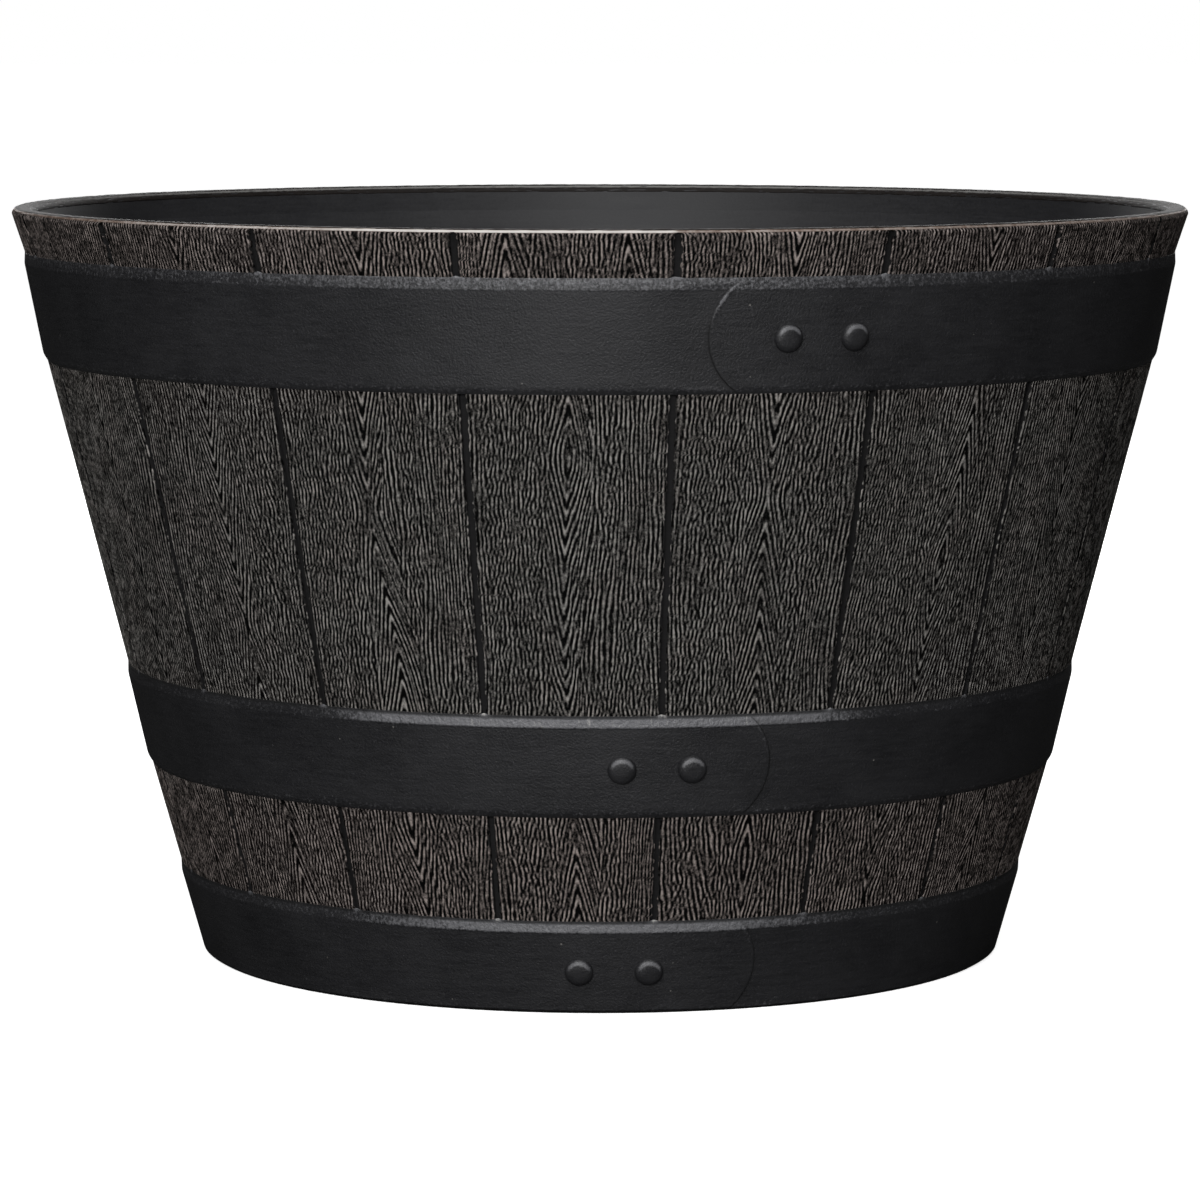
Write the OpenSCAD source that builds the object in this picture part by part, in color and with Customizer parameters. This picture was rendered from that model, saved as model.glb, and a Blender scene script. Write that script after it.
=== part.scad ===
// Half-barrel planter moulded in resin: a staved tub with three strap hoops,
// domed rivets where each strap laps itself, and push-in drain plugs.
// The origin is on the ground in the middle of the foot, and the front is towards -Y.

/* [Tub] */
// Outside diameter at the rim
rim_d = 520; // [514:1:540]
// Height from the ground to the rim
height = 332; // [290:1:400]
// Diameter of the staves at the ground
foot_d = 352.6; // [340:0.2:370]
// Thickness of the wall
wall_t = 7; // [5:0.5:9]
// Width of the rim's top, with both rounded edges
rim_w = 9; // [8:0.5:14]
// Radius of the rim's outer edge
rim_outer_r = 2.6; // [1:0.1:3.5]
// Radius of the rim's inner edge
rim_inner_r = 3.4; // [1:0.1:4]
// Depth of the thick bead inside the rim
rim_h = 12; // [8:1:16]

/* [Floor] */
// Thickness of the floor
floor_t = 7; // [5:0.5:10]
// Height of the floor's underside above the ground
floor_rise = 9; // [6:0.5:14]
// Width of the foot ring that the tub stands on
foot_w = 15; // [10:1:22]
// Chamfer round the outside of the foot
foot_chamfer = 0.5; // [0.3:0.1:2]
// Radius of the cove between the floor and the wall
cove_r = 12; // [6:1:20]

/* [Staves] */
// Number of staves
stave_count = 18; // [12:1:24]
// Angle of the first joint to the right of the front
first_joint = 6.9; // [0:0.1:19]
// Width of the joint groove at the rim
joint_top_w = 3.4; // [2:0.1:5]
// Width of the joint groove at the foot
joint_low_w = 2.2; // [1.5:0.1:4]
// Depth of the joint groove
joint_depth = 2.2; // [1:0.1:3]
// Height of the rim's edge left whole above the joints
joint_lip = 1.1; // [0.8:0.1:3]

/* [Hoops] */
// Thickness of the strap
hoop_t = 1.6; // [1.4:0.1:2.5]
// Gap between the strap and the staves
hoop_fit = 0.1; // [0.05:0.05:0.2]
// Height of the ramp on the strap's upper edge
hoop_ramp = 5; // [2:0.5:8]
// Height of the chamfer on the bottom edge of the upper and middle hoops
hoop_chamfer = 2.8; // [1:0.2:5]
// Height of the chamfer on the bottom edge of the lower hoop, which reaches down to the foot
lower_chamfer = 1; // [0.6:0.2:5]
// Thickness left at both edges of the strap
hoop_edge_t = 0.4; // [0.3:0.1:0.6]
// Height of the lower hoop's bottom edge above the ground
lower_z = 0.6; // [0.4:0.2:6]
// Width of the lower hoop
lower_w = 40.4; // [30:0.2:50]
// Height of the middle hoop's bottom edge
middle_z = 86.5; // [76:0.5:95]
// Width of the middle hoop
middle_w = 43.8; // [38:0.2:56]
// Diameter of the staves at the middle hoop's bottom edge
middle_low_d = 401.2; // [396:0.2:406]
// Diameter of the staves at the middle hoop's top edge
middle_top_d = 421.4; // [418:0.2:428]
// Distance from the rim down to the upper hoop's top edge
upper_drop = 19.5; // [16:0.5:40]
// Width of the upper hoop
upper_w = 47.5; // [42:0.5:52]
// Diameter of the staves at the upper hoop's bottom edge
upper_low_d = 490; // [484:0.2:494]
// Diameter of the staves at the upper hoop's top edge
upper_top_d = 508.8; // [504:0.2:511]

/* [Laps and rivets] */
// How far the strap dips in where its other end laps over it
dip_depth = 0.6; // [0.3:0.1:0.8]
// Radius of the strap's rounded outer end
lap_end_r = 27; // [26:1:34]
// Angle of the upper lap's tip, from the front towards the right
upper_tip = 10; // [0:0.5:40]
// Angle of the middle lap's tip
middle_tip = 19.8; // [0:0.2:40]
// Angle of the lower lap's tip
lower_tip = 20.6; // [0:0.2:40]
// Distance from a lap's tip to its first rivet, on the upper and middle hoops
tip_to_rivet = 33; // [20:1:50]
// Distance from the lower lap's tip to its first rivet
lower_tip_to_rivet = 45; // [20:1:50]
// Distance between a lap's two rivets
rivet_pitch = 29; // [20:1:40]
// Diameter of a rivet's head
rivet_head_d = 12; // [8:0.5:16]
// Height of a rivet's head
rivet_head_h = 2.8; // [1.5:0.1:4]
// Diameter of a rivet's shank
rivet_d = 5; // [3:0.5:6]
// Length of the shank under the head
rivet_l = 6; // [4.5:0.5:6.5]
// Gap round the shank
rivet_fit = 0.1; // [0.05:0.05:0.2]

/* [Drain plugs] */
// Number of drain holes
drain_count = 4; // [4]
// Diameter of a drain hole
drain_d = 20; // [14:1:26]
// Distance of the drain holes from the middle of the floor
drain_offset = 95; // [60:1:125]
// Gap between a plug's shank and its hole
plug_fit = 0.3; // [0.1:0.05:0.4]
// Diameter of a plug's flange
plug_flange_d = 31; // [28:1:40]
// Thickness of a plug's flange
plug_flange_t = 3; // [2:0.5:5]
// How far a plug's shank reaches below the floor
plug_reach = 3; // [1:0.5:4]
// Chamfer on the end of a plug's shank
plug_lead = 1.6; // [0.5:0.1:2.5]
// Radius of the pull tab's rounded top
tab_r = 7.5; // [6:0.5:10]
// Thickness of the pull tab
tab_t = 4; // [3:0.5:6]
// Diameter of the hole through the pull tab
tab_hole_d = 7; // [4:0.5:9]

/* [Hidden] */
$fn = 180;

resin_brown = [0.20, 0.18, 0.16];
strap_black = [0.13, 0.13, 0.14];
rivet_black = [0.17, 0.17, 0.18];
plug_grey = [0.30, 0.30, 0.30];

arc_steps = 6;          // straight pieces in each small rounded edge
past = 2;               // how far a cutter runs past what it cuts
front = -90;            // turn that brings +X to the front

upper_z = height - upper_drop - upper_w;

// The staves' outline: their radius at the foot, at both edges of the two upper hoops, and at the rim
rim_edge_z = height - rim_outer_r;
stave_line = [
    [0, foot_d / 2],
    [middle_z, middle_low_d / 2],
    [middle_z + middle_w, middle_top_d / 2],
    [upper_z, upper_low_d / 2],
    [upper_z + upper_w, upper_top_d / 2],
    [rim_edge_z, rim_d / 2]
];
floor_z = floor_rise + floor_t;
joint_foot_z = lower_z + lower_w / 2;

function stave_r(z) = lookup(z, stave_line);

// Slope of the wall between two heights, in degrees out of upright
function lean(z0, z1) = atan2(stave_r(z1) - stave_r(z0), z1 - z0);

// Points of an arc about (x, z), from one angle to another
function arc(x, z, r, from, to) = [
    for (i = [0:arc_steps]) let (a = from + (to - from) * i / arc_steps) [x + r * cos(a), z + r * sin(a)]
];

// Knots of the staves' outline between two heights, set in or out by a distance
function outline(z0, z1, out) = concat(
    [[stave_r(z0) + out, z0]],
    [for (p = stave_line) if (p[1] > 0 && p[0] > z0 && p[0] < z1) [p[1] + out, p[0]]],
    [[stave_r(z1) + out, z1]]
);

function reversed(list) = [for (i = [len(list) - 1:-1:0]) list[i]];

// Degrees that a length takes up round the staves at one height
function turn(length, z) = length / stave_r(z) * 180 / PI;

// Tub

module tub_profile() {
    inner_top_r = rim_d / 2 - rim_w;
    cove_x = stave_r(floor_z + cove_r) - wall_t - cove_r;
    polygon(concat(
        [[0, floor_rise], [stave_r(0) - foot_w - floor_rise / 2, floor_rise]],
        [[stave_r(0) - foot_w, 0], [stave_r(0) - foot_chamfer, 0]],
        outline(foot_chamfer, rim_edge_z, 0),
        arc(rim_d / 2 - rim_outer_r, rim_edge_z, rim_outer_r, 0, 90),
        arc(inner_top_r + rim_inner_r, height - rim_inner_r, rim_inner_r, 90, 180),
        [[stave_r(height - rim_h) - wall_t, height - rim_h]],
        reversed(outline(floor_z + cove_r, height - rim_h, -wall_t)),
        arc(cove_x, floor_z + cove_r, cove_r, 0, -90),
        [[0, floor_z]]
    ));
}

// Band of the wall that the joints are cut out of, one groove deep
module joint_band() {
    rotate_extrude()
        polygon(concat(
            outline(joint_foot_z, rim_edge_z, past),
            [[rim_d / 2 + past, height + past], [rim_d / 2 - joint_depth, height + past]],
            reversed(outline(joint_foot_z, rim_edge_z, -joint_depth))
        ));
}

// Upright blade as wide as a joint, rounded at its top, running out from the middle
module joint_blade() {
    top_r = joint_top_w / 2;
    rotate([90, 0, 90])
        linear_extrude(rim_d)
            polygon(concat(
                [[-joint_low_w / 2, 0], [joint_low_w / 2, 0]],
                arc(0, height - joint_lip - top_r, top_r, 0, 180)
            ));
}

module joints() {
    intersection() {
        joint_band();
        for (i = [0:stave_count - 1])
            rotate(front + first_joint + i * 360 / stave_count)
                joint_blade();
    }
}

// Puts its children at each drain hole in turn, or at one of them
module at_drain(i) {
    rotate(360 / drain_count * i)
        translate([drain_offset, 0, 0])
            children();
}

module tub_shell() {
    color(resin_brown)
        difference() {
            rotate_extrude()
                tub_profile();
            joints();
            for (i = [0:drain_count - 1])
                at_drain(i)
                    translate([0, 0, floor_rise - past])
                        cylinder(d = drain_d, h = floor_t + 2 * past);
            lower_rivet_places() rivet_bore();
            middle_rivet_places() rivet_bore();
            upper_rivet_places() rivet_bore();
        }
}

// Hoops

// Cross-section of a strap: a ramp along its top edge and a chamfer along its bottom edge
module strap_profile(z, w, chamfer) {
    top = z + w;
    polygon([
        [stave_r(z) + hoop_fit, z],
        [stave_r(z) + hoop_edge_t, z],
        [stave_r(z + chamfer) + hoop_t, z + chamfer],
        [stave_r(top - hoop_ramp) + hoop_t, top - hoop_ramp],
        [stave_r(top) + hoop_edge_t, top],
        [stave_r(top) + hoop_fit, top]
    ]);
}

// What the dip takes off the strap: a flat against its face, up to the rounded end that laps over it.
// The flat runs out by itself where the strap curves away. A side of 1 laps right from the tip, -1 left.
module dip(z, w, tip, side) {
    mid = z + w / 2;
    rotate(front + tip)
        difference() {
            translate([stave_r(mid) + hoop_t - dip_depth, 0, mid])
                rotate([0, lean(z, z + w), 0])
                    translate([0, -lap_end_r, -w])
                        cube([past, 2 * lap_end_r, 2 * w]);
            rotate(side * turn(lap_end_r, mid))
                translate([foot_d / 4, 0, mid])
                    rotate([0, 90, 0])
                        cylinder(r = lap_end_r, h = rim_d);
        }
}

module hoop(z, w, tip, side, chamfer = hoop_chamfer) {
    color(strap_black)
        difference() {
            rotate_extrude()
                strap_profile(z, w, chamfer);
            dip(z, w, tip, side);
            children();
        }
}

module lower_hoop() {
    hoop(lower_z, lower_w, lower_tip, -1, lower_chamfer)
        lower_rivet_places() rivet_bore();
}

module middle_hoop() {
    hoop(middle_z, middle_w, middle_tip, -1)
        middle_rivet_places() rivet_bore();
}

module upper_hoop() {
    hoop(upper_z, upper_w, upper_tip, 1)
        upper_rivet_places() rivet_bore();
}

// Rivets

// Puts its children on the outer face of a strap's lapped end, square to the wall, at both rivets
module rivet_places(z, w, tip, side, first, chamfer = hoop_chamfer) {
    mid = z + (w + chamfer - hoop_ramp) / 2;
    for (i = [0:1])
        rotate(front + tip + side * turn(first + i * rivet_pitch, mid))
            translate([stave_r(mid) + hoop_t, 0, mid])
                rotate([0, 90 + lean(z, z + w), 0])
                    children();
}

module lower_rivet_places() {
    rivet_places(lower_z, lower_w, lower_tip, -1, lower_tip_to_rivet, lower_chamfer) children();
}

module middle_rivet_places() {
    rivet_places(middle_z, middle_w, middle_tip, -1, tip_to_rivet) children();
}

module upper_rivet_places() {
    rivet_places(upper_z, upper_w, upper_tip, 1, tip_to_rivet) children();
}

module rivet_bore() {
    translate([0, 0, -rivet_l - rivet_fit])
        cylinder(d = rivet_d + 2 * rivet_fit, h = rivet_l + rivet_fit + past, $fn = 48);
}

module rivet() {
    dome_r = (pow(rivet_head_d / 2, 2) + pow(rivet_head_h, 2)) / (2 * rivet_head_h);
    color(rivet_black) {
        intersection() {
            translate([0, 0, rivet_head_h - dome_r])
                sphere(r = dome_r, $fn = 64);
            cylinder(d = rivet_head_d, h = rivet_head_h, $fn = 64);
        }
        translate([0, 0, -rivet_l])
            cylinder(d = rivet_d, h = rivet_l + rivet_head_h / 2, $fn = 48);
    }
}

module lower_hoop_rivets() {
    lower_rivet_places() rivet();
}

module middle_hoop_rivets() {
    middle_rivet_places() rivet();
}

module upper_hoop_rivets() {
    upper_rivet_places() rivet();
}

// Drain plugs

module plug_profile() {
    shank_r = drain_d / 2 - plug_fit;
    low = floor_rise - plug_reach;
    polygon(concat(
        [[0, low], [shank_r - plug_lead, low], [shank_r, low + plug_lead], [shank_r, floor_z]],
        [[plug_flange_d / 2, floor_z]],
        arc(plug_flange_d / 2 - plug_flange_t / 2, floor_z + plug_flange_t / 2, plug_flange_t / 2, 0, 90),
        [[0, floor_z + plug_flange_t]]
    ));
}

module pull_tab() {
    tab_z = floor_z + plug_flange_t + tab_r / 2;
    translate([tab_t / 2, 0, 0])
        rotate([0, -90, 0])
            linear_extrude(tab_t)
                difference() {
                    union() {
                        translate([tab_z, 0])
                            circle(r = tab_r, $fn = 64);
                        translate([tab_z - tab_r, -tab_r])
                            square([tab_r, 2 * tab_r]);
                    }
                    translate([tab_z, 0])
                        circle(d = tab_hole_d, $fn = 48);
                    translate([0, -2 * tab_r])
                        square([floor_z + plug_flange_t / 2, 4 * tab_r]);
                }
}

module drain_plug(i) {
    color(plug_grey)
        at_drain(i) {
            rotate_extrude($fn = 96)
                plug_profile();
            pull_tab();
        }
}

tub_shell();
lower_hoop();
middle_hoop();
upper_hoop();
lower_hoop_rivets();
middle_hoop_rivets();
upper_hoop_rivets();
drain_plug(0);  // drain_plug_1
drain_plug(1);  // drain_plug_2
drain_plug(2);  // drain_plug_3
drain_plug(3);  // drain_plug_4
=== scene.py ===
import math

import bpy
import numpy as np
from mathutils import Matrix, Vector


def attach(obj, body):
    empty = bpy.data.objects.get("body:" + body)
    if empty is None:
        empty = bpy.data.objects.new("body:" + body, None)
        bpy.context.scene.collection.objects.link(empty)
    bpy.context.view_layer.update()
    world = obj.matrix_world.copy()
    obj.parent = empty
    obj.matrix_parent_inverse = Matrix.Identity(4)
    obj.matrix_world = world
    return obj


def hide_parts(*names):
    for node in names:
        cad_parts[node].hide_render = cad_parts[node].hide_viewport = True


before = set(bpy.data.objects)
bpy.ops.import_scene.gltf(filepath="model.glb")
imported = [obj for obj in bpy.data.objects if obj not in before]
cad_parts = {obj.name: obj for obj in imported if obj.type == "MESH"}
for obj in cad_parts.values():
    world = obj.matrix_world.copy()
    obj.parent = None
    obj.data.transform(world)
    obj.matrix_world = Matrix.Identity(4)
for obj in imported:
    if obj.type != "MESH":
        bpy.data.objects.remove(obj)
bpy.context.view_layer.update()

# A resin half-barrel planter: grained stave skins and a rim cover over the moulded tub, strap hoops, rivets
# and drain plugs. Shapes are in millimetres until makePiece turns them into metres; materials are in metres.
# Angles are in degrees from the front (-Y) towards the right (+X), and heights are above the ground.

wall = {
    # Heights where the wall's slope changes, and the radius there
    "knotHeights": [0, 86.5, 130.3, 265, 312.5, 329.4],
    "knotRadii": [176.3, 200.6, 210.7, 245, 254.4, 260],
    "rimHeight": 332,
    # Radius and height of the middle of each rounding of the rim, and its size
    "outerEdge": (257.4, 329.4, 2.6),
    "innerEdge": (254.4, 328.6, 3.4),
    "staves": 18,
    "firstJoint": 6.9,
    "jointLowWidth": 2.2,    # width of the joints at the ground
    "jointTopWidth": 3.4,    # and where their rounded top begins
    "jointTop": 330.9,
}
staveAngle = 360 / wall["staves"]


def ease(t):
    # Smooth step: 0 below 0, 1 above 1, and 3t^2 - 2t^3 between
    t = np.clip(t, 0, 1)
    return t * t * (3 - 2 * t)


def wallRadius(z):
    # Radius of the staves at height z: straight lines between the knots
    return np.interp(z, wall["knotHeights"], wall["knotRadii"])


def jointHalf(z):
    # Half the width of a joint: a straight taper, then a half circle to its top
    topRound = wall["jointTopWidth"] / 2
    start = wall["jointTop"] - topRound
    taper = np.interp(z, [0, start], [wall["jointLowWidth"] / 2, topRound])
    return np.where(z > start, np.sqrt(np.clip(topRound ** 2 - (z - start) ** 2, 0, None)), taper)


def fromJoint(degrees):
    # Angle to the nearest joint
    return np.abs((degrees - wall["firstJoint"] + staveAngle / 2) % staveAngle - staveAngle / 2)


def spin(radius, degrees, z):
    # Points at (radius sin a, -radius cos a, z), so that angle 0 is the front
    a = np.radians(degrees)
    return np.stack(np.broadcast_arrays(radius * np.sin(a), -radius * np.cos(a), z), axis=-1)


def gridFaces(rows, columns, first=0, closedAcross=False, closedAlong=False):
    # The four corners of each cell of a grid whose points are numbered row by row
    number = first + np.arange(rows * columns).reshape(rows, columns)
    if closedAcross:
        number = np.hstack([number, number[:, :1]])
    if closedAlong:
        number = np.vstack([number, number[:1]])
    corners = [number[:-1, :-1], number[:-1, 1:], number[1:, 1:], number[1:, :-1]]
    return np.stack(corners, axis=-1).reshape(-1, 4)


def bandUv(rows, columns, turns):
    # A closed band is cut into equal turns, which lie one above another in the texture square
    cellRow, cellColumn = np.divmod(np.arange(rows * columns), columns)
    turn = np.minimum(turns * cellColumn // columns, turns - 1)[:, None]
    u = 0.004 + 0.992 * (turns * (cellColumn[:, None] + [0, 1, 1, 0]) / columns - turn)
    v = (turn + 0.02 + 0.96 * (cellRow[:, None] + [0, 0, 1, 1]) / rows) / turns
    return np.stack([u, v], -1)


def addObject(name, data):
    made = bpy.data.objects.new(name, data)
    bpy.context.scene.collection.objects.link(made)
    return made


def makePiece(name, points, faces, material, masks, uv=None):
    # faces is a list of arrays, one for each number of corners; uv has a row for each face corner in turn
    points = np.asarray(points, float).reshape(-1, 3)
    corners = np.concatenate([f.ravel() for f in faces])
    sizes = np.concatenate([np.full(len(f), f.shape[1]) for f in faces])
    mesh = bpy.data.meshes.new(name)
    mesh.vertices.add(len(points))
    mesh.vertices.foreach_set("co", (points / 1000).ravel().astype(np.float32))
    mesh.loops.add(len(corners))
    mesh.loops.foreach_set("vertex_index", corners.astype(np.int32))
    mesh.polygons.add(len(sizes))
    mesh.polygons.foreach_set("loop_start", (np.cumsum(sizes) - sizes).astype(np.int32))
    mesh.update(calc_edges=True)
    mesh.shade_smooth()
    for key, values in masks.items():
        mask = mesh.attributes.new(key, "FLOAT", "POINT")
        mask.data.foreach_set("value", np.asarray(values, np.float32).ravel())
    if uv is not None:
        mesh.uv_layers.new(name="OFBake").data.foreach_set("uv", uv.ravel().astype(np.float32))
    mesh.materials.append(material)
    piece = addObject(name, mesh)
    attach(piece, "tub")
    return piece


# Shader nodes

def addNode(tree, kind, inputs=None, **settings):
    # Adds a node; an input is given a value, or the output socket that feeds it
    made = tree.nodes.new(kind)
    for key, value in settings.items():
        setattr(made, key, value)
    for key, value in (inputs or {}).items():
        if isinstance(value, bpy.types.NodeSocket):
            tree.links.new(value, made.inputs[key])
        else:
            made.inputs[key].default_value = value
    return made


def useGroup(tree, group, inputs):
    return addNode(tree, "ShaderNodeGroup", inputs, node_tree=group)


def calc(tree, operation, a, b=0.0, c=0.0, clamp=False):
    made = addNode(tree, "ShaderNodeMath", {0: a, 1: b, 2: c}, operation=operation, use_clamp=clamp)
    return made.outputs[0]


def remap(tree, value, fromLow, fromHigh, toLow=0.0, toHigh=1.0, kind="LINEAR", clamp=True):
    spans = {"Value": value, "From Min": fromLow, "From Max": fromHigh, "To Min": toLow, "To Max": toHigh}
    return addNode(tree, "ShaderNodeMapRange", spans, clamp=clamp, interpolation_type=kind).outputs[0]


def mixColours(tree, factor, a, b):
    return addNode(tree, "ShaderNodeMix", {0: factor, 6: a, 7: b}, data_type="RGBA").outputs[2]


def mixValues(tree, factor, a, b):
    return addNode(tree, "ShaderNodeMix", {0: factor, 2: a, 3: b}, data_type="FLOAT").outputs[0]


def objectPlace(tree):
    return addNode(tree, "ShaderNodeTexCoord").outputs["Object"]


def noise(tree, place, scale, detail=2.0, roughness=0.5):
    inputs = {"Vector": place, "Scale": scale, "Detail": detail, "Roughness": roughness}
    return addNode(tree, "ShaderNodeTexNoise", inputs).outputs[0]


def stretched(tree, place, factors):
    return addNode(tree, "ShaderNodeVectorMath", {0: place, 1: factors}, operation="MULTIPLY").outputs[0]


def readMask(tree, name):
    return addNode(tree, "ShaderNodeAttribute", attribute_name=name).outputs["Fac"]


def srgb(colour):
    # A colour given as it looks on a screen, 0 to 255, as the shader's linear values
    c = np.array(colour) / 255
    return (*np.where(c <= 0.04045, c / 12.92, ((c + 0.055) / 1.055) ** 2.4), 1.0)


def newGroup(name, inputs, outputs):
    group = bpy.data.node_groups.new(name, "ShaderNodeTree")
    for title, value in inputs.items():
        kind = "NodeSocketColor" if isinstance(value, tuple) else "NodeSocketFloat"
        group.interface.new_socket(title, in_out="INPUT", socket_type=kind).default_value = value
    for title in outputs:
        kind = "NodeSocketColor" if title == "Color" else "NodeSocketFloat"
        group.interface.new_socket(title, in_out="OUTPUT", socket_type=kind)
    return group, addNode(group, "NodeGroupInput"), addNode(group, "NodeGroupOutput")


def makeMaterial(name, finish, look):
    # A material with a Principled BSDF; its look gives the colour, the roughness and the height of its relief
    material = bpy.data.materials.new(name)
    material.use_nodes = True
    tree = material.node_tree
    shader = tree.nodes["Principled BSDF"]
    shader.inputs["Specular IOR Level"].default_value = finish["sheen"]
    colour, roughness, height = look(tree, finish)
    distance, strength = finish["bump"]
    relief = addNode(tree, "ShaderNodeBump", {"Height": height, "Distance": distance, "Strength": strength})
    tree.links.new(colour, shader.inputs["Base Color"])
    tree.links.new(roughness, shader.inputs["Roughness"])
    tree.links.new(relief.outputs[0], shader.inputs["Normal"])
    return material


# Noises are given as detail and roughness, and spans as the values that become 0 and 1
moulding = {
    "stipple": (3.0, 0.6),
    "mottle": (4.0, 0.6),
    "dragSquash": (1.0, 1.0, 11.0),    # squashed in height, so that the drag lines lie level
    "dragScale": 70.0,
    "drag": (4.0, 0.65),
    "share": 0.35,    # of each of the three in the mottle that is put out
    "jitterScale": 1500.0,
    "jitter": (0.0006,) * 3,    # how far the specks' outlines are pushed about
    "speckSpan": (0.07, 0.03),
    "speckFrom": 0.86,    # cells whose random value is above this have a speck
}


def mouldedGroup():
    # Moulded resin: a soft mottle, faint level drag lines, a fine stipple, and rare pale specks
    inputs = {"Stipple Scale": 900.0, "Mottle Scale": 30.0, "Speck Scale": 260.0}
    group, given, out = newGroup("mouldedSurface", inputs, ["Height", "Mottle", "Specks"])
    place = objectPlace(group)
    stipple = noise(group, place, given.outputs["Stipple Scale"], *moulding["stipple"])
    mottle = noise(group, place, given.outputs["Mottle Scale"], *moulding["mottle"])
    level = stretched(group, place, moulding["dragSquash"])
    drag = noise(group, level, moulding["dragScale"], *moulding["drag"])
    share = moulding["share"]
    blend = calc(group, "MULTIPLY_ADD", drag, share, calc(group, "MULTIPLY", mottle, share))
    jitter = addNode(group, "ShaderNodeTexNoise", {"Vector": place, "Scale": moulding["jitterScale"]})
    pushed = {0: jitter.outputs[1], 1: moulding["jitter"], 2: place}
    pushed = addNode(group, "ShaderNodeVectorMath", pushed, operation="MULTIPLY_ADD").outputs[0]
    cells = addNode(group, "ShaderNodeTexVoronoi", {"Vector": pushed, "Scale": given.outputs["Speck Scale"]})
    near = remap(group, cells.outputs["Distance"], *moulding["speckSpan"])
    pick = addNode(group, "ShaderNodeSeparateColor", {0: cells.outputs["Color"]}).outputs[0]
    specks = calc(group, "MULTIPLY", near, calc(group, "GREATER_THAN", pick, moulding["speckFrom"]))
    group.links.new(stipple, out.inputs["Height"])
    group.links.new(calc(group, "MULTIPLY_ADD", stipple, share, blend), out.inputs["Mottle"])
    group.links.new(specks, out.inputs["Specks"])
    return group


wearing = {
    "noise": (4.0, 0.7),
    "span": (0.15, 0.85),
}


def wearHighlightGroup():
    # Wear and painted highlight along an edge: the mask, broken up by noise so that the line is ragged
    inputs = {"Edge": 0.0, "Raggedness": 0.5, "Grain Scale": 400.0}
    group, given, out = newGroup("edgeWear", inputs, ["Wear"])
    ragged = noise(group, objectPlace(group), given.outputs["Grain Scale"], *wearing["noise"])
    ragged = calc(group, "SUBTRACT", ragged, 0.5)
    pushed = calc(group, "MULTIPLY_ADD", ragged, given.outputs["Raggedness"], given.outputs["Edge"])
    group.links.new(remap(group, pushed, *wearing["span"], kind="SMOOTHSTEP"), out.inputs["Wear"])
    return group


brushing = {
    "dashStretch": (1.0, 1.0, 0.8),
    "dash": (2.5, 0.8),
    "dashSpan": (0.37, 0.63),
    "paintSpan": (-0.85, 1.72),    # ridge heights that hold no paint and the most
    "paintPower": 2.0,
    "roughness": (0.85, 0.6),    # bare and painted
}


def brushedGroup():
    # Dry-brushed grain: paint on the ridges and bare black between them. Fine noise breaks the ridges up.
    inputs = {"Grain": 0.0, "Tone": 1.0, "Breaks": 0.6, "Break Scale": 620.0,
              "Ridge": (0.15, 0.13, 0.11, 1.0), "Valley": (0.01, 0.01, 0.01, 1.0)}
    group, given, out = newGroup("dryBrushedGrain", inputs, ["Color", "Roughness", "Height"])
    place = stretched(group, objectPlace(group), brushing["dashStretch"])
    dashes = noise(group, place, given.outputs["Break Scale"], *brushing["dash"])
    dashes = remap(group, dashes, *brushing["dashSpan"], -1.0, 1.0, clamp=False)
    ridges = calc(group, "MULTIPLY_ADD", dashes, given.outputs["Breaks"], given.outputs["Grain"])
    paint = calc(group, "POWER", remap(group, ridges, *brushing["paintSpan"]), brushing["paintPower"])
    toned = calc(group, "MULTIPLY", paint, given.outputs["Tone"], clamp=True)
    colour = mixColours(group, toned, given.outputs["Valley"], given.outputs["Ridge"])
    group.links.new(colour, out.inputs["Color"])
    group.links.new(remap(group, paint, 0.0, 1.0, *brushing["roughness"]), out.inputs["Roughness"])
    group.links.new(paint, out.inputs["Height"])
    return group


moulded, wearHighlight, brushed = mouldedGroup(), wearHighlightGroup(), brushedGroup()


def mouldedLook(tree, finish):
    # Colour and roughness both follow the mottle, each from its first value to its second
    scales = zip(["Stipple Scale", "Mottle Scale", "Speck Scale"], finish["scales"])
    surface = useGroup(tree, moulded, dict(scales))
    mottle = surface.outputs["Mottle"]
    colour = mixColours(tree, remap(tree, mottle, *finish["colourSpan"]), *map(srgb, finish["colours"]))
    return surface, colour, remap(tree, mottle, *finish["roughSpan"], *finish["roughness"])


def edgeWear(tree, edge, raggedness, scale):
    return useGroup(tree, wearHighlight, {"Edge": edge, "Raggedness": raggedness, "Grain Scale": scale}).outputs[0]


core = {
    "brown": (104, 86, 75),
    "brownSpan": (0.05, 0.45),
    # pale: the resin's core, and a painted highlight over the front of the rim's edge
    "pale": (200, 195, 191),
    "paleHighlightSpan": (0.4, 1.0),
    "raggedness": 0.35,
    "scale": 300.0,
    "roughness": 0.4,
}


def rubToCoreAndHighlight(tree, colour, roughness):
    # Where the mask says so, the finish is rubbed off to brown, and then to the resin's pale core, which over
    # the front of the rim's edge is a painted highlight
    wornAndHighlit = edgeWear(tree, readMask(tree, "wornAndHighlit"), core["raggedness"], core["scale"])
    colour = mixColours(tree, remap(tree, wornAndHighlit, *core["brownSpan"]), colour, srgb(core["brown"]))
    colour = mixColours(tree, remap(tree, wornAndHighlit, *core["paleHighlightSpan"]), colour, srgb(core["pale"]))
    return colour, mixValues(tree, wornAndHighlit, roughness, core["roughness"])


staveFinish = {
    "sheen": 0.06,
    "warmBelow": (0.14, 0.07),    # heights between which the paint turns warmer
    "warmAbove": (0.25, 0.32),
    "patches": (60.0, 3.0),    # scale and detail of the warmer patches
    "patchSpan": (0.45, 0.7),
    "patchShare": 0.3,
    "coolRidge": (151, 148, 144),
    "warmRidge": (161, 150, 145),
    "valley": (3, 3, 3),
    "bump": (0.0003, 0.6),    # height in metres, and strength
}


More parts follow.
